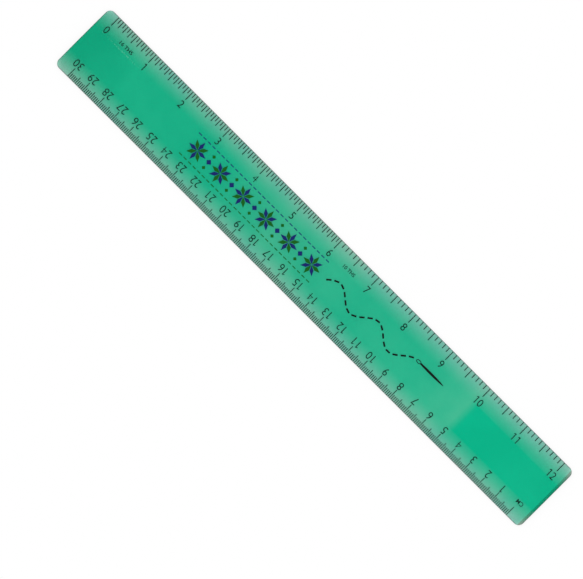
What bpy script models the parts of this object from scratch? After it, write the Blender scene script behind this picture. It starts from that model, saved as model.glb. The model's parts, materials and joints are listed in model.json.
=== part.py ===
"""A flexible ruler with an inch scale on one long edge and a centimetre scale on the other.

It lies flat with its reading face up. +X runs toward the 12 inch end, +Y toward the inch edge,
and the origin is on the underside below the 6 inch mark. The soft strip is divided into short
links on cross hinges, so that it can curl. The links meet between the graduations.
"""

import math

import bmesh
import bpy
from mathutils import Matrix, Vector

MM = 0.001
INCH = 0.0254

# The strip: flat below, level in the middle of its top, and sloping to a thin edge each side
STRIP_LENGTH = 12.5 * INCH
STRIP_WIDTH = 1.5 * INCH
MIDDLE_THICKNESS = 1.6 * MM
EDGE_THICKNESS = 0.9 * MM
SLOPE_WIDTH = 11.0 * MM
CORNER_RADIUS = 3.0 * MM
CORNER_SEGMENTS = 6
EDGE_SOFTENING = 0.15 * MM

# The hinges: each three inch section of the strip bends by its own row of them
SECTION_LENGTH = 3.0 * INCH
SECTIONS_EACH_SIDE = 2
HINGES_PER_SECTION = 8
HINGE_GAP = 0.3 * MM
TICK_TO_GAP = 0.045 * MM

# The graduations, as fine grooves that start just inside the long edges
INCHES = 12
INCHES_IN_SIXTEENTHS = 6
SIXTEENTHS = 16
TENTHS = 10
CENTIMETRES = 30
MILLIMETRES_PER_CM = 10
MILLIMETRE_SPACING = 1.0 * MM
INCH_SPACING = 1.0 * INCH
LINE_WIDTH = 0.2 * MM
TICK_INSET = 0.3 * MM
INCH_TICK = 5.8 * MM
HALF_INCH_TICK = 5.1 * MM
EIGHTH_TICK = 4.4 * MM
FINE_INCH_TICK = 2.9 * MM
CENTIMETRE_TICK = 5.8 * MM
FIVE_MILLIMETRE_TICK = 4.1 * MM
MILLIMETRE_TICK = 2.9 * MM

# Cutters run past what they cut by this much
OVERRUN = 2.0 * MM
SOFTENED_ANGLE = math.radians(30)

# Worked out from the sizes above
HINGE_HEIGHT = MIDDLE_THICKNESS / 2
SLOPE_ANGLE = math.atan2(MIDDLE_THICKNESS - EDGE_THICKNESS, SLOPE_WIDTH)
HINGE_PITCH = SECTION_LENGTH / HINGES_PER_SECTION
HINGES_EACH_SIDE = SECTIONS_EACH_SIDE * HINGES_PER_SECTION
GAP_ROOM = HINGE_GAP + LINE_WIDTH + 2 * TICK_TO_GAP


def clear_scene():
    for item in list(bpy.data.objects):
        bpy.data.objects.remove(item, do_unlink=True)


def new_collection(name):
    group = bpy.data.collections.new(name)
    bpy.context.scene.collection.children.link(group)
    return group


def vinyl_material():
    """Green translucent vinyl, glossy."""
    material = bpy.data.materials.new("green_vinyl")
    material.use_nodes = True
    shader = material.node_tree.nodes["Principled BSDF"]
    shader.inputs["Base Color"].default_value = (0.012, 0.45, 0.25, 1.0)
    shader.inputs["Roughness"].default_value = 0.25
    shader.inputs["Metallic"].default_value = 0.0
    shader.inputs["Alpha"].default_value = 0.85
    material.diffuse_color = (0.012, 0.45, 0.25, 1.0)
    return material


def hide_cutter(cutter):
    cutter.hide_render = True
    cutter.display_type = "WIRE"
    return cutter


def bmesh_object(name, shape, group):
    mesh = bpy.data.meshes.new(name)
    shape.to_mesh(mesh)
    shape.free()
    item = bpy.data.objects.new(name, mesh)
    group.objects.link(item)
    return item


def box_between(name, low, high, group):
    """A box whose two opposite corners are low and high."""
    size = high - low
    place = Matrix.Translation((low + high) / 2) @ Matrix.Diagonal((*size, 1.0))
    shape = bmesh.new()
    bmesh.ops.create_cube(shape, size=1.0, matrix=place)
    return bmesh_object(name, shape, group)


def inch_ticks():
    """Places along the strip and lengths of the inch edge's ticks: sixteenths, then tenths."""
    start = -INCH_SPACING * INCHES / 2
    ticks = []
    for inch in range(INCHES):
        divisions = SIXTEENTHS if inch < INCHES_IN_SIXTEENTHS else TENTHS
        for division in range(divisions):
            if division == 0:
                length = INCH_TICK
            elif division * 2 == divisions:
                length = HALF_INCH_TICK
            elif divisions == SIXTEENTHS and division % 2 == 0:
                length = EIGHTH_TICK
            else:
                length = FINE_INCH_TICK
            ticks.append((start + INCH_SPACING * (inch + division / divisions), length))
    ticks.append((start + INCH_SPACING * INCHES, INCH_TICK))
    return ticks


def centimetre_ticks():
    """Places along the strip and lengths of the centimetre edge's ticks, 0 at the 12 inch end."""
    count = CENTIMETRES * MILLIMETRES_PER_CM
    start = MILLIMETRE_SPACING * count / 2
    ticks = []
    for division in range(count + 1):
        if division % MILLIMETRES_PER_CM == 0:
            length = CENTIMETRE_TICK
        elif division * 2 % MILLIMETRES_PER_CM == 0:
            length = FIVE_MILLIMETRE_TICK
        else:
            length = MILLIMETRE_TICK
        ticks.append((start - MILLIMETRE_SPACING * division, length))
    return ticks


def cut_place(even_place, ticks):
    """Midway between two neighbouring graduations with room for a gap, as near as can be to even_place."""
    def merit(space):
        near, far = space
        return max(0.0, GAP_ROOM - (far - near)), abs((near + far) / 2 - even_place)

    spaces = [space for space in zip(ticks, ticks[1:]) if abs(sum(space) / 2 - even_place) < HINGE_PITCH / 2]
    return sum(min(spaces, key=merit)) / 2


def cut_places(tick_places):
    """Where the hinges lie, in order along +X, as far as the strip reaches."""
    ticks = sorted(tick_places)
    count = 2 * HINGES_EACH_SIDE
    evens = [HINGE_PITCH * (index - (count - 1) / 2) for index in range(count)]
    reach = STRIP_LENGTH / 2 - HINGE_PITCH / 2
    return [cut_place(even, ticks) for even in evens if abs(even) < reach]


def section_outline(group):
    """The strip's cross-section as a flat outline, run along X for the strip's length."""
    half_width = STRIP_WIDTH / 2
    level = half_width - SLOPE_WIDTH
    points = [
        (-half_width, 0.0),
        (half_width, 0.0),
        (half_width, EDGE_THICKNESS),
        (level, MIDDLE_THICKNESS),
        (-level, MIDDLE_THICKNESS),
        (-half_width, EDGE_THICKNESS),
    ]
    curve = bpy.data.curves.new("section_outline", "CURVE")
    curve.dimensions = "2D"
    curve.fill_mode = "BOTH"
    curve.extrude = STRIP_LENGTH / 2
    spline = curve.splines.new("POLY")
    spline.points.add(len(points) - 1)
    for point, (across, up) in zip(spline.points, points):
        point.co = (across, up, 0.0, 1.0)
    spline.use_cyclic_u = True
    outline = bpy.data.objects.new("section_outline", curve)
    outline.rotation_euler = (math.pi / 2, 0.0, math.pi / 2)
    group.objects.link(outline)
    return outline


def plan_cutter(group):
    """The strip's plan as a block with round corners."""
    reach = Vector((STRIP_LENGTH / 2, STRIP_WIDTH / 2, OVERRUN))
    top = Vector((0.0, 0.0, MIDDLE_THICKNESS))
    cutter = box_between("plan", -reach, reach + top, group)
    shape = bmesh.new()
    shape.from_mesh(cutter.data)
    upright = [edge for edge in shape.edges if edge.verts[0].co.xy == edge.verts[1].co.xy]
    bmesh.ops.bevel(shape, geom=upright, offset=CORNER_RADIUS, segments=CORNER_SEGMENTS,
                    profile=0.5, affect="EDGES")
    shape.to_mesh(cutter.data)
    shape.free()
    return hide_cutter(cutter)


def evaluated_mesh(item, name):
    graph = bpy.context.evaluated_depsgraph_get()
    mesh = bpy.data.meshes.new_from_object(item.evaluated_get(graph))
    mesh.name = name
    return mesh


def blade_mesh(material, group):
    """The whole strip in one piece, with round corners and softened edges."""
    outline = section_outline(group)
    bpy.context.view_layer.update()
    mesh = evaluated_mesh(outline, "blade")
    mesh.transform(outline.matrix_world)
    bpy.data.objects.remove(outline, do_unlink=True)
    shape = bmesh.new()
    shape.from_mesh(mesh)
    bmesh.ops.remove_doubles(shape, verts=shape.verts, dist=EDGE_SOFTENING / 10)
    bmesh.ops.recalc_face_normals(shape, faces=shape.faces)
    shape.to_mesh(mesh)
    shape.free()

    blade = bpy.data.objects.new("blade", mesh)
    group.objects.link(blade)
    plan = blade.modifiers.new("plan", "BOOLEAN")
    plan.operation = "INTERSECT"
    plan.object = plan_cutter(group)
    soften = blade.modifiers.new("soften", "BEVEL")
    soften.width = EDGE_SOFTENING
    soften.segments = 1
    soften.limit_method = "ANGLE"
    soften.angle_limit = SOFTENED_ANGLE
    bpy.context.view_layer.update()
    finished = evaluated_mesh(blade, "strip")
    finished.materials.clear()
    finished.materials.append(material)
    bpy.data.objects.remove(blade, do_unlink=True)
    return finished


def add_tick(shape, place, length, side):
    """A square rod on its corner, laid along the slope of one long edge (side is 1 or -1)."""
    outer = STRIP_WIDTH / 2 - TICK_INSET
    inner = STRIP_WIDTH / 2 - length
    middle = (outer + inner) / 2
    surface = EDGE_THICKNESS + (STRIP_WIDTH / 2 - middle) * math.tan(SLOPE_ANGLE)
    rod_length = (outer - inner) / math.cos(SLOPE_ANGLE)
    rod_side = LINE_WIDTH * math.sqrt(2)
    seat = Matrix.Translation((place, side * middle, surface))
    tilt = Matrix.Rotation(-side * SLOPE_ANGLE, 4, "X")
    lift = Matrix.Translation((0.0, 0.0, LINE_WIDTH / 2))
    turn = Matrix.Rotation(math.pi / 4, 4, "Y")
    size = Matrix.Diagonal((rod_side, rod_length, rod_side, 1.0))
    bmesh.ops.create_cube(shape, size=1.0, matrix=seat @ tilt @ lift @ turn @ size)


def tick_cutter(number, low, high, scales, group):
    """The grooves of one link, as one cutter."""
    shape = bmesh.new()
    for side, ticks in scales:
        for place, length in ticks:
            if low < place < high:
                add_tick(shape, place, length, side)
    return hide_cutter(bmesh_object("ticks_%02d" % number, shape, group))


def link_object(number, low, high, blade, scales, ruler, cutters):
    """One link of the strip, between its two cross faces."""
    reach = Vector((0.0, STRIP_WIDTH / 2 + OVERRUN, OVERRUN))
    floor = Vector((low, 0.0, 0.0)) - reach
    ceiling = Vector((high, 0.0, MIDDLE_THICKNESS)) + reach
    slab = hide_cutter(box_between("slab_%02d" % number, floor, ceiling, cutters))
    link = bpy.data.objects.new("strip_%02d" % number, blade)
    ruler.objects.link(link)
    keep = link.modifiers.new("length", "BOOLEAN")
    keep.operation = "INTERSECT"
    keep.object = slab
    grooves = link.modifiers.new("graduations", "BOOLEAN")
    grooves.operation = "DIFFERENCE"
    grooves.object = tick_cutter(number, low, high, scales, cutters)
    return link


def hang(link, carrier, hinge_place, name, group):
    """Carry a link on a hinge of its neighbour nearer the middle."""
    pivot = Vector((hinge_place, 0.0, HINGE_HEIGHT))
    hinge = bpy.data.objects.new(name, None)
    hinge.empty_display_size = STRIP_WIDTH / 2
    hinge.parent = carrier
    hinge.location = pivot - carrier.matrix_world.translation
    group.objects.link(hinge)
    link.parent = hinge
    link.location = -pivot
    bpy.context.view_layer.update()


def build():
    clear_scene()
    ruler = new_collection("flexible_ruler")
    cutters = new_collection("cutters")
    blade = blade_mesh(vinyl_material(), cutters)

    scales = ((1, inch_ticks()), (-1, centimetre_ticks()))
    places = [place for _, ticks in scales for place, _ in ticks]
    cuts = cut_places(places)
    each_side = len(cuts) // 2
    lows = [-STRIP_LENGTH / 2 - OVERRUN] + [cut + HINGE_GAP / 2 for cut in cuts]
    highs = [cut - HINGE_GAP / 2 for cut in cuts] + [STRIP_LENGTH / 2 + OVERRUN]
    links = [link_object(index + 1, low, high, blade, scales, ruler, cutters)
             for index, (low, high) in enumerate(zip(lows, highs))]

    for step in range(1, each_side + 1):
        up = each_side + step
        down = each_side - step
        hang(links[up], links[up - 1], cuts[up - 1], "hinge_up_%02d" % step, ruler)
        hang(links[down], links[down + 1], cuts[down], "hinge_down_%02d" % step, ruler)


build()
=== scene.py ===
"""The looks of the flexible ruler: a soft green strip with two printed scales and a band of print."""

import json
import math

import bpy
from mathutils import Matrix, Vector

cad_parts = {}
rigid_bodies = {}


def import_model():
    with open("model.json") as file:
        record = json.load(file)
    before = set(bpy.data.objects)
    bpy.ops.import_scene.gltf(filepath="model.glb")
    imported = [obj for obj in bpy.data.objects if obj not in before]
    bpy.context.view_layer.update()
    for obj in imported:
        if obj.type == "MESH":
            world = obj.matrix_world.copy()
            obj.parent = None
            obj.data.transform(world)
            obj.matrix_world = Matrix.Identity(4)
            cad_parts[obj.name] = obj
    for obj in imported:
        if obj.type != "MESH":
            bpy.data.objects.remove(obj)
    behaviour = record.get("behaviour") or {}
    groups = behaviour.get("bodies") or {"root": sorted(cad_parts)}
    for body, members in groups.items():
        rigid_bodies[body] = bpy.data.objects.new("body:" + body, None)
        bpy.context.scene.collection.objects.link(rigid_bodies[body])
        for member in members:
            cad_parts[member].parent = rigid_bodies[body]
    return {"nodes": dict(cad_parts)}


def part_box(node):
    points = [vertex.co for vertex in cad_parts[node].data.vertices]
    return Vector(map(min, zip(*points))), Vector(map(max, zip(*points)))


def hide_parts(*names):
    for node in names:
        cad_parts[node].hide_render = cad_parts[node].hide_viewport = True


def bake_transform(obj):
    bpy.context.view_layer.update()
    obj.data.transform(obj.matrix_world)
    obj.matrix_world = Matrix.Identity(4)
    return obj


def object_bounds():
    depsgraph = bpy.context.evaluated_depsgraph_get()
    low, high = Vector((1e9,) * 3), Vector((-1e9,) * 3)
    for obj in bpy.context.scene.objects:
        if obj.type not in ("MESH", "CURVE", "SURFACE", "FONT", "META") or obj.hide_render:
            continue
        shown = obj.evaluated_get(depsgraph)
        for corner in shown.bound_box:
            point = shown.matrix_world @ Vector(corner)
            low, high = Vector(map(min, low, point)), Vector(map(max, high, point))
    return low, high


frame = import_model()
cad_low, cad_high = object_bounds()

MM = 0.001
INCH = 0.0254

# The strip, with its size from the frame: +X runs toward the 12 inch end, +Y toward the inch edge
LENGTH = cad_high.x - cad_low.x
WIDTH = cad_high.y - cad_low.y
MIDDLE_THICKNESS = cad_high.z - cad_low.z
EDGE_THICKNESS = 0.9 * MM
SLOPE_WIDTH = 11.0 * MM
LEVEL_HALF = WIDTH / 2 - SLOPE_WIDTH
FALL = (MIDDLE_THICKNESS - EDGE_THICKNESS) / SLOPE_WIDTH
SLOPE_ANGLE = math.atan(FALL)
CORNER_RADIUS = 3.0 * MM
CORNER_SEGMENTS = 10
RIM_ROUNDING = 0.18 * MM
RIM_SEGMENTS = 3
RIM_SUPPORT = 0.5 * MM
CREASE_ROUNDING = 0.8 * MM
CREASE_SEGMENTS = 4
CREASE_SUPPORT = 0.8 * MM
SLICES_PER_LINK = 12
SMOOTH_ANGLE = math.radians(40)

MERGE = 0.0001 * MM
NEAR = 0.001 * MM

# A face looks the way that its normal points by more than this share
FACING = 0.75

# The print: thin solids of ink just above the face
INK_THICKNESS = 0.02 * MM
INK_LIFT = 0.01 * MM
INCH_LINE_WIDTH = 0.42 * MM
CM_LINE_WIDTH = 0.38 * MM
LINE_ROUNDING_SHARE = 0.2
LINE_ROUNDING_SEGMENTS = 2
TICK_INSET = 0.2 * MM
LETTER_RESOLUTION = 5

# The inch scale: sixteenths from 0 to 6, tenths from 6 to 12
INCHES = 12
INCHES_IN_SIXTEENTHS = 6
SIXTEENTHS = 16
TENTHS = 10
INCH_TICK = 5.65 * MM
HALF_INCH_TICK = 5.0 * MM
EIGHTH_TICK = 4.3 * MM
FINE_INCH_TICK = 2.8 * MM
INCH_NUMERAL_TOP = 6.7 * MM
INCH_NUMERAL_HEIGHT = 3.9 * MM
LAST_INCH_SHIFT = 0.9 * MM

# The centimetre scale, from 0 at the 12 inch end to 30, read from the other side
CENTIMETRES = 30
MILLIMETRES_PER_CM = 10
CM = MM * MILLIMETRES_PER_CM
CENTIMETRE_TICK = 5.45 * MM
FIVE_MILLIMETRE_TICK = 4.1 * MM
MILLIMETRE_TICK = 2.9 * MM
CM_NUMERAL_TOP = 5.8 * MM
CM_NUMERAL_HEIGHT = 4.0 * MM

# The font's digits stand this share of its size high, and are drawn a little narrower than its own
DIGIT_HEIGHT_SHARE = 0.691
DIGIT_SQUEEZE = 0.92
DIGIT_STEP_SHARE = 0.70
LETTER_WEIGHT = -0.004

# The 4 is drawn thinner, so that it stays open, and the 1 is built by hand, with its own stem and flag
FOUR_WEIGHT = -0.016
STROKE = 0.44 * MM
ONE_SHIFT_SHARE = 0.06
FLAG_REACH_SHARE = 0.18
FLAG_DROP_SHARE = 0.10

# The labels of the scales
UNIT_LABEL_WEIGHT = 0.005
PART_LABEL_WEIGHT = 0.012
UNIT_LABEL_HEIGHT = 2.1 * MM
UNIT_LABEL_WIDTH = 3.9 * MM
UNIT_LABEL_FROM_EDGE = 8.8 * MM
UNIT_LABEL_SHIFT = 0.6 * MM
PART_LABEL_HEIGHT = 1.8 * MM
PART_LABEL_FROM_EDGE = 8.2 * MM
SIXTEENTHS_LABEL_X = -5.5 * INCH
SIXTEENTHS_LABEL_WIDTH = 8.3 * MM
TENTHS_LABEL_X = 0.5 * INCH
TENTHS_LABEL_WIDTH = 7.4 * MM

# The band of print on the level middle: patchwork stars, then a line of running stitches
BAND_START = -80.0 * MM
STARS = 6
STAR_POINTS = 8
STAR_PITCH = 15.6 * MM
STAR_RADIUS = 5.7 * MM
SEAM = 0.18 * MM
LARGE_PATCH = 1.5 * MM
SMALL_PATCH = 1.0 * MM
PATCH_STEP = 3.6 * MM
STITCH_LINE = 6.8 * MM
STITCH_LENGTH = 2.0 * MM
STITCH_WIDTH = 0.45 * MM
STITCH_PITCH = 3.1 * MM
THREAD_START = 8.0 * MM
THREAD_WAVE = 26.0 * MM
THREAD_WAVES = 2.25
THREAD_SWING = 3.6 * MM
THREAD_STITCH = 2.6 * MM
THREAD_WIDTH = 0.85 * MM
THREAD_PITCH = 4.0 * MM
THREAD_STEPS = 16
NEEDLE_LENGTH = 18.0 * MM
NEEDLE_WIDTH = 1.2 * MM
NEEDLE_SIDES = 32
EYE_LENGTH = 2.6 * MM
EYE_WIDTH_SHARE = 0.75
EYE_WALL = 0.35 * MM

# The vinyl's colours as seen through the strip once: along its level middle, by the share of the way
# from the 0 inch end, and at its thin edges, whose colour sets in late down the slope
# Their changes along the strip are partly the vinyl's own tone and partly painted reflection
LEVEL_TINTS = [
    (0.02, (0.011, 0.560, 0.358)),
    (0.10, (0.022, 0.636, 0.412)),
    (0.30, (0.027, 0.640, 0.424)),
    (0.42, (0.110, 0.673, 0.461)),
    (0.56, (0.052, 0.650, 0.440)),
    (0.72, (0.055, 0.666, 0.452)),
    (0.812, (0.125, 0.701, 0.490)),
    (0.825, (0.003, 0.668, 0.435)),
    (1.00, (0.010, 0.655, 0.428)),
]
EDGE_TINT = (0.46, 0.730, 0.640, 1.0)
THINNING_POWER = 1.5

# What a face lets through of lamp light, and how much painted shade darkens the rim's own faces beside
# the others
LEVEL_PASS = (0.17, 0.80, 0.65, 1.0)
EDGE_PASS = (0.60, 0.81, 0.75, 1.0)
RIM_PAINTED_SHADE = 0.45

# Soft patches in those colours, and paler slopes beside the last stretch of the strip
CLOUD_SCALE = 14.0
CLOUD_DETAIL = 3.0
CLOUD_STEP = (0.35, 0.65)
CLOUD_PATCHES = 1.0
CLOUD_CLEAR = (1.20, 1.020, 1.025, 1.0)
CLOUD_DULL = (0.80, 0.980, 0.975, 1.0)
PALE_START = 0.81
PALE_RISE = 0.02
PALE_SLOPE = 0.07
PALE_SLOPE_RISE = 0.12

# Painted shade: a darker line along all the edges, and a darker band at the 12 inch end
EDGE_SHADE_WIDTH = 0.5 * MM
EDGE_SHADE_TINT = (0.75, 0.55, 0.60, 1.0)
END_SHADE_WIDTH = 1.7 * MM
END_SHADE_SOFTNESS = 0.4 * MM
END_SHADE_TINT = (1.0, 0.62, 0.62, 1.0)

# The vinyl's surface, with a fine grain and a slow wave in it
CLARITY = 0.62
VINYL_IOR = 1.5
VINYL_ROUGHNESS = 0.03
GRAIN_ROUGHNESS = 0.04
GRAIN_SCALE = 900.0
GRAIN_DETAIL = 2.0
GRAIN_HEIGHT = 0.004
WAVE_SCALE = 24.0
WAVE_DETAIL = 1.0
WAVE_HEIGHT = 0.05
BUMP_STRENGTH = 0.05
BUMP_DISTANCE = 1.0 * MM

# The inks, each with its colour and the lighter colour of its mottle
SCALE_INK = ((0.0015, 0.022, 0.013, 1.0), (0.003, 0.032, 0.019, 1.0))
BLUE_INK = ((0.006, 0.016, 0.125, 1.0), (0.008, 0.022, 0.150, 1.0))
GREEN_INK = ((0.005, 0.105, 0.008, 1.0), (0.007, 0.125, 0.012, 1.0))
BLACK_INK = ((0.002, 0.004, 0.003, 1.0), (0.004, 0.007, 0.006, 1.0))
MOTTLE_SCALE = 600.0
MOTTLE_DETAIL = 2.0
MOTTLE_STEP = (0.35, 0.7)
INK_ROUGHNESS = 0.42
MOTTLE_ROUGHNESS = 0.2
INK_IOR = 1.45
INK_SPECULAR = 0.15

# The photograph's frame, and where the strip's middle lies in it
FRAME_WIDTH_PX = 583
FRAME_HEIGHT_PX = 579
STRIP_MIDDLE_PX = (314.4, 267.9)
PX_PER_MM = 2.066
STRIP_TURN = math.radians(-45)
CAMERA_DISTANCE = 1.5
SENSOR = 36.0

# What the strip mirrors, at the camera's height: a dim ceiling, white beyond its reach, and one
# bright streak whose start, end and softness are shares of the strip's length
WHITE = (1.0, 1.0, 1.0, 1.0)
CEILING = (0.06, 0.06, 0.06, 1.0)
CEILING_REACH = (0.35, 0.45)
CEILING_EDGE = 0.1
GLINT = (2.0, 2.0, 2.0, 1.0)
GLINT_START = 0.038
GLINT_END = 0.080
GLINT_SOFTNESS = 0.01
GLINT_ACROSS = 0.135
GLINT_WIDTH = 0.055
LOWEST_RISE = 0.001

# The light, and the floor with its shade below the strip
AMBIENT = (0.65, 0.65, 0.65, 1.0)
LAMP_PLACE = (0.25, -0.1, 1.3)
LAMP_SIZE = (0.6, 0.5)
LAMP_WATTS = 6.1
FLOOR_SIZE = 6.0
FLOOR_DROP = 0.05 * MM
FLOOR_WHITE = (0.8, 0.8, 0.8, 1.0)
CONTACT_REACH = 12.0 * MM
CONTACT_SAMPLES = 8
CONTACT_SHADE = (0.82, 0.82, 0.82, 1.0)


# Shader maths

class Shade:
    """One output of a node. Arithmetic on it adds Math nodes, and node() adds any other."""

    def __init__(self, tree, output=None):
        self.tree = tree
        self.output = output

    def node(self, kind, settings=None, sockets=None, out=0):
        """A node of that kind, with its settings made first and then its sockets, as its output out."""
        made = self.tree.nodes.new(kind)
        for name, value in (settings or {}).items():
            if name == "stops":
                self.set_stops(made.color_ramp, value)
            else:
                setattr(made, name, value)
        for name, value in (sockets or {}).items():
            if isinstance(value, Shade):
                self.tree.links.new(value.output, made.inputs[name])
            else:
                made.inputs[name].default_value = value
        return Shade(self.tree, made.outputs[out] if len(made.outputs) else None)

    @staticmethod
    def set_stops(ramp, stops):
        while len(ramp.elements) < len(stops):
            ramp.elements.new(1.0)
        for element, (place, colour) in zip(ramp.elements, stops):
            element.position = place
            element.color = (*colour, 1.0)

    def at(self, out):
        """Another output of the same node."""
        return Shade(self.tree, self.output.node.outputs[out])

    def maths(self, operation, *values):
        return self.node("ShaderNodeMath", {"operation": operation}, dict(enumerate(values)))

    def __add__(self, other):
        return self.maths("ADD", self, other)

    def __radd__(self, other):
        return self.maths("ADD", other, self)

    def __sub__(self, other):
        return self.maths("SUBTRACT", self, other)

    def __rsub__(self, other):
        return self.maths("SUBTRACT", other, self)

    def __mul__(self, other):
        return self.maths("MULTIPLY", self, other)

    def __rmul__(self, other):
        return self.maths("MULTIPLY", other, self)

    def __truediv__(self, other):
        return self.maths("DIVIDE", self, other)

    def __abs__(self):
        return self.maths("ABSOLUTE", self)

    def smooth_step(self, low, high):
        """0 below low, 1 above high and a smooth rise between them."""
        return self.node("ShaderNodeMapRange", {"interpolation_type": "SMOOTHSTEP"},
                         {"Value": self, "From Min": low, "From Max": high})


def new_material(name):
    material = bpy.data.materials.new(name)
    material.use_nodes = True
    material.node_tree.nodes.clear()
    return material, Shade(material.node_tree)


def place_on_strip(shade):
    """How far along and across the strip a point lies, in metres, from the piece's own map."""
    place = shade.node("ShaderNodeUVMap", {"uv_map": "place"})
    parts = shade.node("ShaderNodeSeparateXYZ", {}, {"Vector": place})
    along = parts.at(0) * LENGTH - LENGTH / 2
    across = parts.at(1) * LENGTH - WIDTH / 2
    return place, along, across


def mixed(shade, factor, first, second, blend="MIX"):
    """Two colours mixed by a factor. The node's sockets 6 and 7 are its colours."""
    return shade.node("ShaderNodeMix", {"data_type": "RGBA", "blend_type": blend},
                      {0: factor, 6: first, 7: second}, out=2)


def noise(shade, place, scale, detail):
    return shade.node("ShaderNodeTexNoise", {}, {"Vector": place, "Scale": scale, "Detail": detail})


def vinyl_tint(shade, along, across, cloud, outward, thinness):
    """The strip's colour, with its soft patches, its painted reflection along the strip and its painted
    shade in darker lines.
    """
    share = (along + LENGTH / 2) / LENGTH
    level = shade.node("ShaderNodeValToRGB", {"stops": LEVEL_TINTS}, {"Fac": share})
    patchy = thinness * (1 - CLOUD_PATCHES / 2 + cloud * CLOUD_PATCHES)
    last_stretch = share.smooth_step(PALE_START, PALE_START + PALE_RISE)
    pale_slope = last_stretch * outward.smooth_step(0.0, PALE_SLOPE_RISE)
    tint = mixed(shade, patchy + pale_slope * PALE_SLOPE, level, EDGE_TINT)
    mottle = mixed(shade, cloud.smooth_step(*CLOUD_STEP), CLOUD_CLEAR, CLOUD_DULL)
    tint = mixed(shade, 1.0, tint, mottle, "MULTIPLY")
    # Painted shade: a darker band at the 12 inch end
    shade_start = LENGTH / 2 - END_SHADE_WIDTH
    end_shade = along.smooth_step(shade_start, shade_start + END_SHADE_SOFTNESS)
    tint = mixed(shade, end_shade, tint, END_SHADE_TINT, "MULTIPLY")
    # Painted shade: a darker line along all the edges
    past_edge = shade.maths("MAXIMUM", abs(across) - WIDTH / 2, abs(along) - LENGTH / 2)
    edge_shade = past_edge.smooth_step(-EDGE_SHADE_WIDTH, -EDGE_SHADE_WIDTH / 2)
    return mixed(shade, edge_shade, tint, EDGE_SHADE_TINT, "MULTIPLY")


def strip_vinyl(name, depth):
    """Soft green vinyl with a faint haze: deep green where it is thick, greyer at the thin edges.

    Its base colour is what a look takes in one pass through the strip, times a painted shade that
    darkens the rim. Lamp light passes it as clear colour, so that what lies below is lit through it.
    """
    material, shade = new_material(name)
    place, along, across = place_on_strip(shade)
    cloud = noise(shade, place, CLOUD_SCALE, CLOUD_DETAIL)
    outward = shade.node("ShaderNodeMapRange", {}, {
        "Value": abs(across), "From Min": LEVEL_HALF, "From Max": WIDTH / 2})
    thinness = shade.maths("POWER", outward, THINNING_POWER)
    tint = vinyl_tint(shade, along, across, cloud, outward, thinness)
    # Painted shade: the rim's material is darkened by this factor, and the face's gets 1.0
    tint = mixed(shade, 1.0, tint, (depth, depth, depth, 1.0), "MULTIPLY")

    grain = noise(shade, place, GRAIN_SCALE, GRAIN_DETAIL)
    wave = noise(shade, place, WAVE_SCALE, WAVE_DETAIL)
    bump = shade.node("ShaderNodeBump", {}, {
        "Strength": BUMP_STRENGTH,
        "Distance": BUMP_DISTANCE,
        "Height": grain * GRAIN_HEIGHT + wave * WAVE_HEIGHT,
    })
    surface = shade.node("ShaderNodeBsdfPrincipled", {}, {
        "Base Color": tint,
        "Roughness": VINYL_ROUGHNESS + grain * GRAIN_ROUGHNESS,
        "IOR": VINYL_IOR,
        "Transmission Weight": CLARITY,
        "Normal": bump,
    })
    paths = shade.node("ShaderNodeLightPath")
    lighting = shade.maths("MAXIMUM", paths.at("Is Shadow Ray"), paths.at("Is Diffuse Ray"))
    through_level = shade.node("ShaderNodeBsdfTransparent", {}, {"Color": LEVEL_PASS})
    through_edge = shade.node("ShaderNodeBsdfTransparent", {}, {"Color": EDGE_PASS})
    over_level = shade.node("ShaderNodeMixShader", {}, {0: lighting, 1: surface, 2: through_level})
    over_edge = shade.node("ShaderNodeMixShader", {}, {0: lighting, 1: surface, 2: through_edge})
    both = shade.node("ShaderNodeMixShader", {}, {0: thinness, 1: over_level, 2: over_edge})
    shade.node("ShaderNodeOutputMaterial", {}, {"Surface": both})
    return material


def printing_ink(name, colours):
    """Flat ink with a faint mottle."""
    material, shade = new_material(name)
    place, _, _ = place_on_strip(shade)
    mottle = noise(shade, place, MOTTLE_SCALE, MOTTLE_DETAIL)
    surface = shade.node("ShaderNodeBsdfPrincipled", {}, {
        "Base Color": mixed(shade, mottle.smooth_step(*MOTTLE_STEP), *colours),
        "Roughness": INK_ROUGHNESS + mottle * MOTTLE_ROUGHNESS,
        "IOR": INK_IOR,
        "Specular IOR Level": INK_SPECULAR,
    })
    shade.node("ShaderNodeOutputMaterial", {}, {"Surface": surface})
    return material


# Modelling by operators

def deselect_all():
    for item in bpy.context.view_layer.objects:
        item.select_set(False)
    bpy.context.view_layer.objects.active = None


def select_only(items):
    deselect_all()
    for item in items:
        item.select_set(True)
    bpy.context.view_layer.objects.active = items[0]


def apply_place(piece):
    """Puts an object's place, turn and scale into its mesh."""
    select_only([piece])
    bpy.ops.object.transform_apply(location=True, rotation=True, scale=True)


def block(name, centre, size):
    deselect_all()
    bpy.ops.mesh.primitive_cube_add(size=1.0, location=centre, scale=size)
    piece = bpy.context.object
    piece.name = name
    apply_place(piece)
    return piece


def edit(piece, kind="VERT", rule=None):
    """Opens a piece in edit mode, with those parts selected for which a rule holds, if there is one."""
    select_only([piece])
    mesh = piece.data
    for item in (*mesh.vertices, *mesh.edges, *mesh.polygons):
        item.select = False
    if rule:
        parts = {"VERT": mesh.vertices, "EDGE": mesh.edges, "FACE": mesh.polygons}[kind]
        for item in parts:
            item.select = rule(mesh, item)
    bpy.context.tool_settings.mesh_select_mode = (kind == "VERT", kind == "EDGE", kind == "FACE")
    bpy.ops.object.mode_set(mode="EDIT")


def edit_all(piece, kind="VERT"):
    """Opens a piece in edit mode with all of it selected."""
    edit(piece, kind)
    bpy.ops.mesh.select_all(action="SELECT")


def done():
    bpy.ops.object.mode_set(mode="OBJECT")


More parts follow.
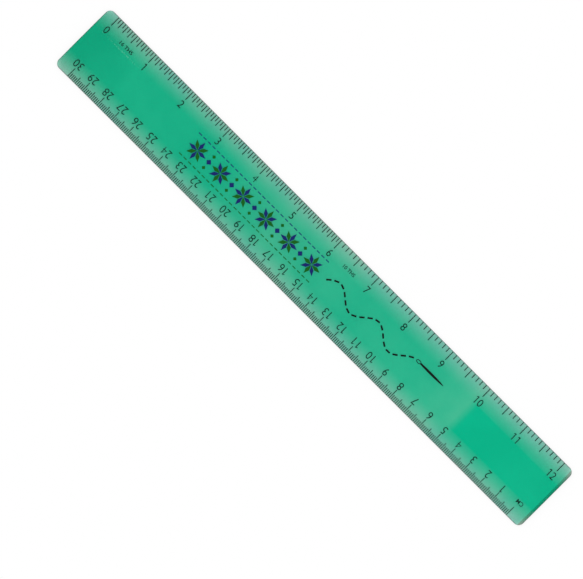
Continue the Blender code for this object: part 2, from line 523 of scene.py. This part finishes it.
def cut(piece, point, normal, clear_beyond=False, fill=False):
    """Cuts a piece by a plane, and with clear_beyond drops what the normal points at."""
    edit_all(piece)
    bpy.ops.mesh.bisect(plane_co=point, plane_no=normal, clear_outer=clear_beyond,
                        use_fill=fill, threshold=MERGE)
    done()


def join(name, parts):
    select_only(parts)
    bpy.ops.object.join()
    joined = bpy.context.object
    joined.name = name
    return joined


def copy_of(pattern):
    """A copy with a mesh of its own."""
    twin = pattern.copy()
    twin.data = pattern.data.copy()
    bpy.context.scene.collection.objects.link(twin)
    return twin


def copy_at(pattern, x, y, angle=0.0):
    """A copy turned flat about the origin and then moved to a place."""
    twin = copy_of(pattern)
    twin.data.transform(Matrix.Translation((x, y, 0.0)) @ Matrix.Rotation(angle, 4, "Z"))
    return twin


def discard(pieces):
    for piece in pieces:
        bpy.data.objects.remove(piece, do_unlink=True)


# The strip

def stands_upright(mesh, edge):
    first, second = (mesh.vertices[index].co for index in edge.vertices)
    return (first.xy - second.xy).length < NEAR


def face_height(distance):
    """How high the reading face stands at a distance from the strip's middle line."""
    beyond = distance - LEVEL_HALF
    if beyond <= -CREASE_ROUNDING:
        return MIDDLE_THICKNESS
    if beyond >= CREASE_ROUNDING:
        return MIDDLE_THICKNESS - FALL * beyond
    return MIDDLE_THICKNESS - FALL * (beyond + CREASE_ROUNDING) ** 2 / (4 * CREASE_ROUNDING)


def slope_long_edges(strip):
    """Lowers the reading face toward both long edges, with a round crease where each slope begins."""
    crease = [LEVEL_HALF + CREASE_ROUNDING * (2 * step / CREASE_SEGMENTS - 1)
              for step in range(CREASE_SEGMENTS + 1)]
    lines = [crease[0] - CREASE_SUPPORT, *crease, crease[-1] + CREASE_SUPPORT]
    for line in lines:
        for side in (-1, 1):
            cut(strip, (0.0, side * line, 0.0), (0.0, 1.0, 0.0))
    for line in (*lines, WIDTH / 2):
        def on_line(mesh, vertex):
            return abs(abs(vertex.co.y) - line) < NEAR and vertex.co.z > MIDDLE_THICKNESS - NEAR

        edit(strip, "VERT", on_line)
        bpy.ops.transform.translate(value=(0.0, 0.0, face_height(line) - MIDDLE_THICKNESS))
        done()


def round_edges(strip):
    """Rounds the four corners and then every sharp edge, and cuts a line close beside the edges."""
    def corner(mesh, edge):
        on_long_edge = abs(mesh.vertices[edge.vertices[0]].co.y) > WIDTH / 2 - NEAR
        return on_long_edge and stands_upright(mesh, edge)

    edit(strip, "EDGE", corner)
    bpy.ops.mesh.bevel(offset=CORNER_RADIUS, segments=CORNER_SEGMENTS, affect="EDGES")
    done()

    edit(strip, "EDGE")
    bpy.ops.mesh.edges_select_sharp(sharpness=SMOOTH_ANGLE)
    bpy.ops.mesh.bevel(offset=RIM_ROUNDING, segments=RIM_SEGMENTS, affect="EDGES")
    done()
    for side in (-1, 1):
        cut(strip, (side * (LENGTH / 2 - RIM_SUPPORT), 0.0, 0.0), (1.0, 0.0, 0.0))
        cut(strip, (0.0, side * (WIDTH / 2 - RIM_SUPPORT), 0.0), (0.0, 1.0, 0.0))


def whole_strip():
    """The strip in one piece: level in the middle, sloping to thin edges, with round corners."""
    strip = block("strip", (0.0, 0.0, MIDDLE_THICKNESS / 2), (LENGTH, WIDTH, MIDDLE_THICKNESS))
    slope_long_edges(strip)
    round_edges(strip)
    select_only([strip])
    bpy.ops.object.shade_smooth_by_angle(angle=SMOOTH_ANGLE)
    return strip


def map_place(piece):
    """Gives a piece a map of its place on the flat strip, at one scale both ways."""
    mesh = piece.data
    layer = mesh.uv_layers.new(name="place")
    for loop in mesh.loops:
        place = mesh.vertices[loop.vertex_index].co
        layer.data[loop.index].uv = ((place.x + LENGTH / 2) / LENGTH, (place.y + WIDTH / 2) / LENGTH)


# The print

def ink_line(length, width):
    """One printed line of that length, from its outer end at the origin toward -Y."""
    line = block("line", (0.0, -length / 2, INK_THICKNESS / 2), (width, length, INK_THICKNESS))
    edit(line, "EDGE", stands_upright)
    bpy.ops.mesh.bevel(offset=width * LINE_ROUNDING_SHARE, segments=LINE_ROUNDING_SEGMENTS,
                       affect="EDGES")
    done()
    return line


def lettering(name, text, height, centre_x, baseline_y, width=None, weight=LETTER_WEIGHT):
    """Thin solid letters of that height, centred at a place along the strip."""
    deselect_all()
    bpy.ops.object.text_add(location=(0.0, 0.0, 0.0))
    letters = bpy.context.object
    letters.data.body = text
    letters.data.align_x = "CENTER"
    letters.data.size = height / DIGIT_HEIGHT_SHARE
    letters.data.resolution_u = LETTER_RESOLUTION
    letters.data.extrude = INK_THICKNESS / 2
    letters.data.offset = weight * letters.data.size
    bpy.ops.object.convert(target="MESH")
    letters = bpy.context.object
    letters.name = name
    bpy.context.view_layer.update()
    squeeze = DIGIT_SQUEEZE if width is None else width / letters.dimensions.x
    place = Matrix.Translation((centre_x, baseline_y, INK_THICKNESS / 2))
    letters.data.transform(place @ Matrix.Diagonal((squeeze, 1.0, 1.0, 1.0)))
    edit_all(letters)
    bpy.ops.mesh.remove_doubles(threshold=MERGE)
    done()
    return letters


def digit_one(height):
    """The digit 1 with its flag, standing at the origin."""
    stem = block("digit", (ONE_SHIFT_SHARE * height, height / 2, INK_THICKNESS / 2),
                 (STROKE, height, INK_THICKNESS))
    cut(stem, (0.0, height - STROKE, 0.0), (0.0, 1.0, 0.0))

    def flag_root(mesh, face):
        return face.normal.x < -FACING and face.center.y > height - STROKE

    edit(stem, "FACE", flag_root)
    bpy.ops.mesh.extrude_region_move(TRANSFORM_OT_translate={
        "value": (-FLAG_REACH_SHARE * height, -FLAG_DROP_SHARE * height, 0.0)})
    done()
    return stem


def digit_set(height):
    """Each digit once, at the origin."""
    digits = {digit: lettering("digit", digit, height, 0.0, 0.0) for digit in "02356789"}
    digits["1"] = digit_one(height)
    digits["4"] = lettering("digit", "4", height, 0.0, 0.0, weight=FOUR_WEIGHT)
    return digits


def numeral(digits, number, height, centre_x, baseline_y):
    """Copies of the digits of a number, side by side about a place along the strip."""
    text = str(number)
    parts = []
    for index, digit in enumerate(text):
        shift = (index - (len(text) - 1) / 2) * DIGIT_STEP_SHARE * height
        parts.append(copy_at(digits[digit], centre_x + shift, baseline_y))
    return parts


def inch_lines():
    """Where the inch edge's graduations stand and how long they are."""
    start = -INCH * INCHES / 2
    lines = []
    for inch in range(INCHES):
        divisions = SIXTEENTHS if inch < INCHES_IN_SIXTEENTHS else TENTHS
        for division in range(divisions):
            if division == 0:
                reach = INCH_TICK
            elif division * 2 == divisions:
                reach = HALF_INCH_TICK
            elif divisions == SIXTEENTHS and division % 2 == 0:
                reach = EIGHTH_TICK
            else:
                reach = FINE_INCH_TICK
            lines.append((start + INCH * (inch + division / divisions), reach))
    lines.append((start + INCH * INCHES, INCH_TICK))
    return lines


def centimetre_lines():
    """Where the centimetre edge's graduations stand and how long they are."""
    start = CM * CENTIMETRES / 2
    lines = []
    for division in range(CENTIMETRES * MILLIMETRES_PER_CM + 1):
        if division % MILLIMETRES_PER_CM == 0:
            reach = CENTIMETRE_TICK
        elif division * 2 % MILLIMETRES_PER_CM == 0:
            reach = FIVE_MILLIMETRE_TICK
        else:
            reach = MILLIMETRE_TICK
        lines.append((start - MM * division, reach))
    return lines


def graduations(name, lines, width):
    """All the graduations of one edge, laid flat and reaching in from the inch edge's side."""
    parts = []
    for reach in sorted({reach for _, reach in lines}):
        pattern = ink_line(reach - TICK_INSET, width)
        for place, length in lines:
            if length == reach:
                parts.append(copy_at(pattern, place, WIDTH / 2 - TICK_INSET))
        discard([pattern])
    return join(name, parts)


def lay_on_slope(piece):
    """Tilts flat ink about the slope's break and lifts it just clear of the face."""
    edit_all(piece)
    bpy.ops.transform.translate(value=(0.0, 0.0, MIDDLE_THICKNESS + INK_LIFT))
    bpy.ops.transform.rotate(value=SLOPE_ANGLE, orient_axis="X",
                             center_override=(0.0, LEVEL_HALF, MIDDLE_THICKNESS))
    done()
    return piece


def inch_scale():
    baseline = WIDTH / 2 - INCH_NUMERAL_TOP - INCH_NUMERAL_HEIGHT
    parts = [graduations("inch_graduations", inch_lines(), INCH_LINE_WIDTH)]
    digits = digit_set(INCH_NUMERAL_HEIGHT)
    for inch in range(INCHES + 1):
        place = INCH * (inch - INCHES / 2) - (LAST_INCH_SHIFT if inch == INCHES else 0.0)
        parts.extend(numeral(digits, inch, INCH_NUMERAL_HEIGHT, place, baseline))
    discard(digits.values())
    label_base = WIDTH / 2 - PART_LABEL_FROM_EDGE - PART_LABEL_HEIGHT / 2
    parts.append(lettering("label", "16 THS", PART_LABEL_HEIGHT, SIXTEENTHS_LABEL_X, label_base,
                           SIXTEENTHS_LABEL_WIDTH, PART_LABEL_WEIGHT))
    parts.append(lettering("label", "10 THS", PART_LABEL_HEIGHT, TENTHS_LABEL_X, label_base,
                           TENTHS_LABEL_WIDTH, PART_LABEL_WEIGHT))
    return lay_on_slope(join("inch_scale", parts))


def centimetre_scale():
    """Made like the inch scale and then turned half round, since it is read from the other side."""
    baseline = WIDTH / 2 - CM_NUMERAL_TOP - CM_NUMERAL_HEIGHT
    lines = [(-place, reach) for place, reach in centimetre_lines()]
    parts = [graduations("centimetre_graduations", lines, CM_LINE_WIDTH)]
    digits = digit_set(CM_NUMERAL_HEIGHT)
    for centimetre in range(1, CENTIMETRES + 1):
        place = CM * (centimetre - CENTIMETRES / 2)
        parts.extend(numeral(digits, centimetre, CM_NUMERAL_HEIGHT, place, baseline))
    discard(digits.values())
    label_base = WIDTH / 2 - UNIT_LABEL_FROM_EDGE - UNIT_LABEL_HEIGHT / 2
    label_x = -CM * CENTIMETRES / 2 - UNIT_LABEL_SHIFT
    parts.append(lettering("label", "CM", UNIT_LABEL_HEIGHT, label_x, label_base, UNIT_LABEL_WIDTH,
                           UNIT_LABEL_WEIGHT))
    scale = lay_on_slope(join("centimetre_scale", parts))
    scale.data.transform(Matrix.Rotation(math.pi, 4, "Z"))
    return scale


def print_on_level(name, parts):
    """Joins flat ink and lifts it just clear of the level middle."""
    joined = join(name, parts)
    joined.data.transform(Matrix.Translation((0.0, 0.0, MIDDLE_THICKNESS + INK_LIFT)))
    return joined


def diamond(long_half, short_half):
    """A flat diamond about the origin, its long way along X."""
    deselect_all()
    bpy.ops.mesh.primitive_cylinder_add(vertices=4, radius=1.0, depth=INK_THICKNESS,
                                        location=(0.0, 0.0, INK_THICKNESS / 2),
                                        scale=(long_half, short_half, 1.0))
    piece = bpy.context.object
    piece.name = "diamond"
    apply_place(piece)
    return piece


def quilt_star(centre_x, first_turn):
    """Every other diamond of a patchwork star."""
    half_step = math.pi / STAR_POINTS
    patch = diamond(STAR_RADIUS / 2 - SEAM, STAR_RADIUS / 2 * math.tan(half_step) - SEAM)
    parts = []
    for turn in range(first_turn, STAR_POINTS, 2):
        angle = turn * 2 * half_step
        x = centre_x + STAR_RADIUS / 2 * math.cos(angle)
        parts.append(copy_at(patch, x, STAR_RADIUS / 2 * math.sin(angle), angle))
    discard([patch])
    return parts


def patchwork_band():
    """A patchwork band in two inks: stars with small squares on point between them, and stitching."""
    blue = []
    green = []
    starts = [BAND_START + STAR_PITCH * index for index in range(STARS)]
    for index, place in enumerate(starts):
        blue.extend(quilt_star(place, index % 2))
        green.extend(quilt_star(place, (index + 1) % 2))
    small = diamond(SMALL_PATCH, SMALL_PATCH)
    large = diamond(LARGE_PATCH, LARGE_PATCH)
    for place in starts[:-1]:
        between = place + STAR_PITCH / 2
        blue.append(copy_at(large, between, 0.0))
        for side in (-1, 1):
            green.append(copy_at(small, between, side * PATCH_STEP))
    stitch = ink_line(STITCH_LENGTH, STITCH_WIDTH)
    count = round((starts[-1] - starts[0] + 2 * STAR_RADIUS) / STITCH_PITCH)
    for index in range(count):
        place = starts[0] - STAR_RADIUS + STITCH_PITCH * index
        green.append(copy_at(stitch, place, -STITCH_LINE, math.pi / 2))
        blue.append(copy_at(stitch, place, STITCH_LINE, math.pi / 2))
    discard([small, large, stitch])
    return print_on_level("imprint_blue", blue), print_on_level("imprint_green", green)


def thread_height(place):
    return THREAD_SWING * math.sin(2 * math.pi * (place - THREAD_START) / THREAD_WAVE)


def thread_angle(place):
    steepness = THREAD_SWING * 2 * math.pi / THREAD_WAVE
    return math.atan(steepness * math.cos(2 * math.pi * (place - THREAD_START) / THREAD_WAVE))


def needle_eye():
    """A flat oval ring from the origin to where the needle's body is cut off."""
    deselect_all()
    bpy.ops.mesh.primitive_circle_add(vertices=NEEDLE_SIDES, radius=1.0, fill_type="NGON",
                                      location=(EYE_LENGTH / 2, 0.0, 0.0))
    eye = bpy.context.object
    eye.name = "eye"
    eye.scale = (EYE_LENGTH / 2 + SEAM, NEEDLE_WIDTH * EYE_WIDTH_SHARE, 1.0)
    apply_place(eye)
    edit_all(eye, "FACE")
    bpy.ops.mesh.inset(thickness=EYE_WALL)
    bpy.ops.mesh.delete(type="FACE")
    bpy.ops.mesh.select_all(action="SELECT")
    bpy.ops.mesh.extrude_region_move(TRANSFORM_OT_translate={"value": (0.0, 0.0, INK_THICKNESS)})
    bpy.ops.mesh.select_all(action="SELECT")
    bpy.ops.mesh.normals_make_consistent(inside=False)
    done()
    return eye


def sewing_needle():
    """A flat needle along X, with its eye at the origin and its point at the far end."""
    deselect_all()
    bpy.ops.mesh.primitive_cylinder_add(vertices=NEEDLE_SIDES, radius=1.0, depth=INK_THICKNESS,
                                        location=(NEEDLE_LENGTH / 2, 0.0, INK_THICKNESS / 2),
                                        scale=(NEEDLE_LENGTH / 2, NEEDLE_WIDTH / 2, 1.0))
    needle = bpy.context.object
    needle.name = "needle"
    apply_place(needle)
    cut(needle, (EYE_LENGTH, 0.0, 0.0), (-1.0, 0.0, 0.0), clear_beyond=True, fill=True)
    return join("needle", [needle, needle_eye()])


def running_stitch():
    """A needle drawing a wavy line of running stitches."""
    stitch = ink_line(THREAD_STITCH, THREAD_WIDTH)
    parts = []
    place = THREAD_START
    needle_start = THREAD_START + THREAD_WAVE * THREAD_WAVES
    while place < needle_start - THREAD_STITCH:
        middle = place + THREAD_STITCH / 2 * math.cos(thread_angle(place))
        angle = thread_angle(middle) + math.pi / 2
        parts.append(copy_at(stitch, place, thread_height(place), angle))
        for _ in range(THREAD_STEPS):
            place += THREAD_PITCH / THREAD_STEPS * math.cos(thread_angle(place))
    needle = sewing_needle()
    needle.data.transform(Matrix.Translation((needle_start, thread_height(needle_start), 0.0)))
    parts.append(needle)
    discard([stitch])
    return print_on_level("imprint_black", parts)


# Dividing the strip at the middles of its links, so that every piece spans one joint

def link_middles():
    middles = []
    for number in range(1, len(frame["nodes"]) + 1):
        low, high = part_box("strip_%02d" % number)
        middles.append((low.x + high.x) / 2)
    return middles


def stretch(whole, name, low, high, first, last, fill):
    """The stretch of a piece between two link middles, sliced across at even steps."""
    part = copy_of(whole)
    part.name = name
    if not first:
        cut(part, (low, 0.0, 0.0), (-1.0, 0.0, 0.0), clear_beyond=True, fill=fill)
    if not last:
        cut(part, (high, 0.0, 0.0), (1.0, 0.0, 0.0), clear_beyond=True, fill=fill)
    if not part.data.polygons:
        discard([part])
        return None
    for index in range(1, SLICES_PER_LINK):
        place = low + (high - low) * index / SLICES_PER_LINK
        cut(part, (place, 0.0, 0.0), (1.0, 0.0, 0.0))
    return part


def divide(whole, name, materials, fill):
    """Cuts a piece that runs the whole length into its stretches between link middles."""
    middles = link_middles()
    parts = []
    for number, (low, high) in enumerate(zip(middles, middles[1:]), start=1):
        first = number == 1
        last = number == len(middles) - 1
        part = stretch(whole, "%s_%02d" % (name, number), low, high, first, last, fill)
        if part is None:
            continue
        part.data.materials.clear()
        for material in materials:
            part.data.materials.append(material)
        if len(materials) > 1:
            for face in part.data.polygons:
                face.material_index = 1 if abs(face.normal.z) < FACING else 0
        map_place(part)
        bodies = ("strip_%02d" % number, "strip_%02d" % (number + 1))
        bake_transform(part)
        parts.append((part, bodies, last))
    discard([whole])
    return parts


def make_strip():
    face = strip_vinyl("green_vinyl", 1.0)
    # The rim's material is the face's with painted shade
    rim = strip_vinyl("green_vinyl_rim", RIM_PAINTED_SHADE)
    for part, bodies, last in divide(whole_strip(), "vinyl", [face, rim], fill=False):
        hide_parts(bodies[0])
        if last:
            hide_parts(bodies[1])


def make_scales():
    ink = printing_ink("scale_ink", SCALE_INK)
    divide(inch_scale(), "inch_scale", [ink], fill=True)
    divide(centimetre_scale(), "centimetre_scale", [ink], fill=True)


def make_imprint():
    blue, green = patchwork_band()
    divide(blue, "imprint_blue", [printing_ink("blue_ink", BLUE_INK)], fill=True)
    divide(green, "imprint_green", [printing_ink("green_ink", GREEN_INK)], fill=True)
    divide(running_stitch(), "imprint_black", [printing_ink("black_ink", BLACK_INK)], fill=True)


# The stage

def make_floor():
    """A white floor that lights the strip from below.

    A camera ray passes it to the white world, darker where the strip is near, so that a curl that
    reaches below the floor still shows.
    """
    deselect_all()
    bpy.ops.mesh.primitive_plane_add(size=FLOOR_SIZE, location=(0.0, 0.0, -FLOOR_DROP))
    floor = bpy.context.object
    floor.name = "floor"
    material, shade = new_material("floor_white")
    surface = shade.node("ShaderNodeBsdfDiffuse", {}, {"Color": FLOOR_WHITE})
    openness = shade.node("ShaderNodeAmbientOcclusion", {"samples": CONTACT_SAMPLES},
                          {"Distance": CONTACT_REACH}, out=1)
    seen = mixed(shade, openness, CONTACT_SHADE, WHITE)
    clear = shade.node("ShaderNodeBsdfTransparent", {}, {"Color": seen})
    paths = shade.node("ShaderNodeLightPath")
    both = shade.node("ShaderNodeMixShader", {}, {0: paths.at("Is Camera Ray"), 1: surface, 2: clear})
    shade.node("ShaderNodeOutputMaterial", {}, {"Surface": both})
    floor.data.materials.append(material)


def mirrored_ceiling(shade):
    """What a mirrored ray meets on a plane at the camera's height."""
    view = shade.node("ShaderNodeTexCoord")
    parts = shade.node("ShaderNodeSeparateXYZ", {}, {"Vector": view.at("Generated")})
    rise = shade.maths("MAXIMUM", parts.at(2), LOWEST_RISE)
    along = parts.at(0) / rise * CAMERA_DISTANCE
    across = parts.at(1) / rise * CAMERA_DISTANCE
    share = (along + LENGTH / 2) / LENGTH
    after_start = share.smooth_step(GLINT_START, GLINT_START + GLINT_SOFTNESS)
    before_end = 1 - share.smooth_step(GLINT_END - GLINT_SOFTNESS, GLINT_END)
    near_streak = 1 - abs(across - GLINT_ACROSS).smooth_step(0.0, GLINT_WIDTH)
    ceiling = mixed(shade, after_start * before_end * near_streak, CEILING, GLINT)
    beyond = shade.maths("MAXIMUM", abs(along) - CEILING_REACH[0], abs(across) - CEILING_REACH[1])
    return mixed(shade, beyond.smooth_step(0.0, CEILING_EDGE), ceiling, WHITE)


def make_world():
    """White where the camera looks, softer as light, and a dim ceiling where the strip mirrors it."""
    world = bpy.data.worlds.new("studio")
    bpy.context.scene.world = world
    world.use_nodes = True
    world.cycles.sampling_method = "NONE"
    world.node_tree.nodes.clear()
    shade = Shade(world.node_tree)
    paths = shade.node("ShaderNodeLightPath")
    clear = shade.maths("MAXIMUM", paths.at("Is Camera Ray"), paths.at("Is Transmission Ray"))
    colour = mixed(shade, clear, AMBIENT, WHITE)
    colour = mixed(shade, paths.at("Is Glossy Ray"), colour, mirrored_ceiling(shade))
    light = shade.node("ShaderNodeBackground", {}, {"Color": colour, "Strength": 1.0})
    shade.node("ShaderNodeOutputWorld", {}, {"Surface": light})


def make_lamp():
    """A soft box that is neither mirrored nor seen through the strip."""
    bpy.ops.object.light_add(type="AREA", location=LAMP_PLACE)
    lamp = bpy.context.object
    lamp.name = "soft_box"
    lamp.data.shape = "RECTANGLE"
    lamp.data.size, lamp.data.size_y = LAMP_SIZE
    lamp.data.energy = LAMP_WATTS
    lamp.data.cycles.use_multiple_importance_sampling = False
    lamp.visible_glossy = False
    lamp.visible_transmission = False
    lamp.rotation_euler = Vector(lamp.location).to_track_quat("Z", "Y").to_euler()


def make_camera():
    """Straight above, with the strip running down to the right in the picture."""
    right = Vector((math.cos(STRIP_TURN), -math.sin(STRIP_TURN), 0.0))
    up = Vector((math.sin(STRIP_TURN), math.cos(STRIP_TURN), 0.0))
    away = right.cross(up)
    offset_right = (FRAME_WIDTH_PX / 2 - STRIP_MIDDLE_PX[0]) / PX_PER_MM * MM
    offset_up = (STRIP_MIDDLE_PX[1] - FRAME_HEIGHT_PX / 2) / PX_PER_MM * MM
    centre = right * offset_right + up * offset_up
    bpy.ops.object.camera_add()
    camera = bpy.context.object
    camera.name = "camera"
    turn = Matrix((right, up, away)).transposed().to_4x4()
    camera.matrix_world = Matrix.Translation(centre + away * CAMERA_DISTANCE) @ turn
    camera.data.sensor_width = SENSOR
    camera.data.lens = SENSOR * CAMERA_DISTANCE / (FRAME_WIDTH_PX / PX_PER_MM * MM)
    bpy.context.scene.camera = camera


deselect_all()
make_strip()
make_scales()
make_imprint()
make_floor()
make_world()
make_lamp()
make_camera()
bpy.context.scene.view_settings.view_transform = "Standard"
